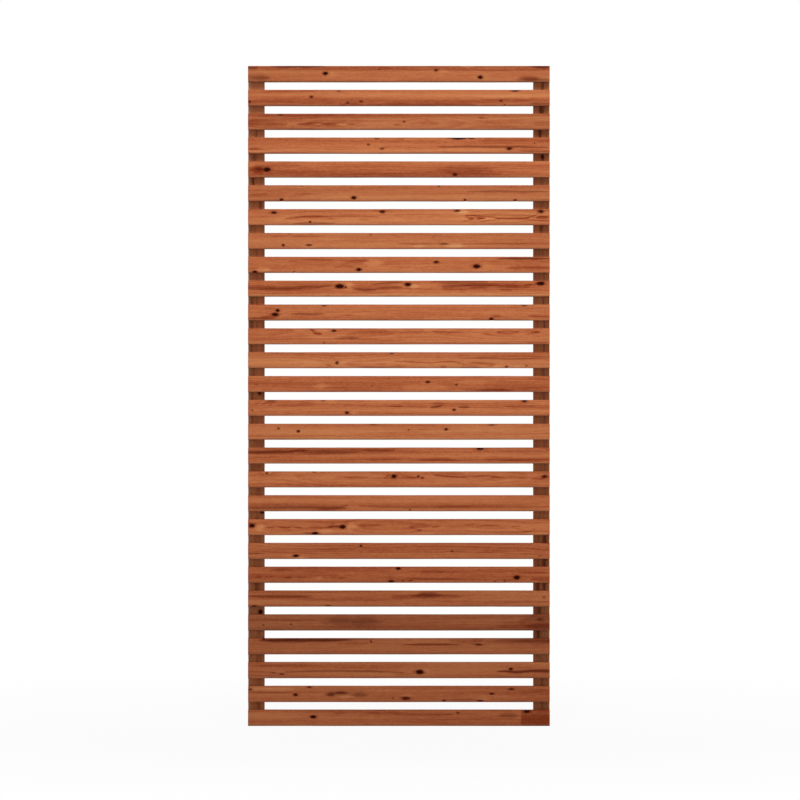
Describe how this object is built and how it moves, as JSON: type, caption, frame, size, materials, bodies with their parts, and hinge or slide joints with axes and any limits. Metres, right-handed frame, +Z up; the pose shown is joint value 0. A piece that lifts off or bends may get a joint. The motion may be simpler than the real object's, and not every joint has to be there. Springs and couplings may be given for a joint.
{
  "type": "slatted fence panel",
  "caption": "Upright garden fence panel of stained horizontal timber slats with even gaps, stapled from behind to two upright edge battens.",
  "frame": {"origin": "on the ground, under the middle of the panel's width and depth", "axes": "+Z up, +X to the right for someone facing the slats, -Y out of the slatted front"},
  "size_m": [0.823, 0.052, 1.8],
  "materials": {
    "slat_wood": "planed softwood, red-brown stain, satin",
    "batten_wood": "finely sawn softwood, red-brown stain, matt",
    "staple_steel": "zinc-plated staple wire"
  },
  "bodies": {
    "root": {"slat_01": "slat_wood", "slat_02": "slat_wood", "slat_03": "slat_wood", "slat_04": "slat_wood", "slat_05": "slat_wood", "slat_06": "slat_wood", "slat_07": "slat_wood", "slat_08": "slat_wood", "slat_09": "slat_wood", "slat_10": "slat_wood", "slat_11": "slat_wood", "slat_12": "slat_wood", "slat_13": "slat_wood", "slat_14": "slat_wood", "slat_15": "slat_wood", "slat_16": "slat_wood", "slat_17": "slat_wood", "slat_18": "slat_wood", "slat_19": "slat_wood", "slat_20": "slat_wood", "slat_21": "slat_wood", "slat_22": "slat_wood", "slat_23": "slat_wood", "slat_24": "slat_wood", "slat_25": "slat_wood", "slat_26": "slat_wood", "slat_27": "slat_wood", "slat_28": "slat_wood", "left_batten": "batten_wood", "right_batten": "batten_wood", "left_batten_staples": "staple_steel", "right_batten_staples": "staple_steel"}
  },
  "joints": []
}
